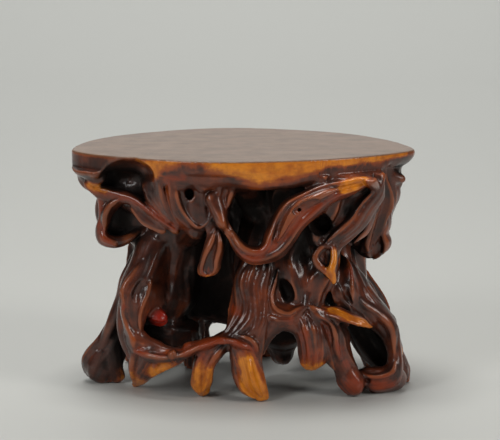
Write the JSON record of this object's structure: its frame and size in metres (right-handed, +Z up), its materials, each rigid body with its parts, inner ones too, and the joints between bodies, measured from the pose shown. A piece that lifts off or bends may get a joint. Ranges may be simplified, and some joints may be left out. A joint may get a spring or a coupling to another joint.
{
  "type": "bonsai display stand",
  "caption": "Low Chinese display stand: a flat oval board carried by a knot of carved, lacquered root stems, for a bonsai, rock or vase.",
  "frame": {"origin": "on the floor under the middle of the board's outline", "axes": "+X to the right along the board's length, +Y to the back, +Z up; the front with the two amber toes faces -Y"},
  "size_m": [0.15, 0.116, 0.106],
  "materials": {
    "board_lacquer": "thin dark brown lacquer over yellow wood, semi-gloss, worn to amber under the rim",
    "root_lacquer": "deep red-brown lacquer over amber root wood, glossy on ridges, near black in hollows, worn to amber on toes and tips",
    "peg_wood": "bare pale wood, dull"
  },
  "bodies": {
    "root": {"centre_leg": "root_lacquer", "front_left_root": "root_lacquer", "front_right_root": "root_lacquer", "hook_root": "root_lacquer", "inner_stump": "root_lacquer", "left_ear_root": "root_lacquer", "left_front_leg": "root_lacquer", "left_rear_leg": "root_lacquer", "left_shoulder_root": "root_lacquer", "peg_centre_leg_side": "peg_wood", "peg_centre_leg_top": "peg_wood", "peg_front_left": "peg_wood", "peg_front_right": "peg_wood", "peg_inner_stump": "peg_wood", "peg_inner_stump_side": "peg_wood", "peg_left_rear_leg_top": "peg_wood", "peg_left_shoulder": "peg_wood", "peg_rear_centre": "peg_wood", "peg_rear_left": "peg_wood", "peg_rear_right": "peg_wood", "peg_right_drape": "peg_wood", "peg_right_drape_foot": "peg_wood", "peg_right_front_leg_top": "peg_wood", "peg_ring_leg_top": "peg_wood", "pin_front_joint": "peg_wood", "pin_front_left_side": "peg_wood", "pin_hook": "peg_wood", "pin_left_ear_back": "peg_wood", "pin_left_ear_front": "peg_wood", "pin_left_front_leg_back": "peg_wood", "pin_left_front_leg_inside": "peg_wood", "pin_rear_drape": "peg_wood", "pin_rear_stretcher_left": "peg_wood", "pin_rear_stretcher_right": "peg_wood", "pin_rear_swag_left": "peg_wood", "pin_rear_swag_right": "peg_wood", "pin_ring_leg_foot": "peg_wood", "pin_stretcher_left": "peg_wood", "pin_stretcher_right": "peg_wood", "pin_swag_left": "peg_wood", "pin_swag_right": "peg_wood", "rear_centre_leg": "root_lacquer", "rear_drape_root": "root_lacquer", "rear_left_leg": "root_lacquer", "rear_right_leg": "root_lacquer", "rear_stretcher_root": "root_lacquer", "rear_swag_root": "root_lacquer", "right_drape_root": "root_lacquer", "right_front_leg": "root_lacquer", "ring_leg": "root_lacquer", "stretcher_root": "root_lacquer", "swag_root": "root_lacquer", "top_board": "board_lacquer"}
  },
  "joints": []
}
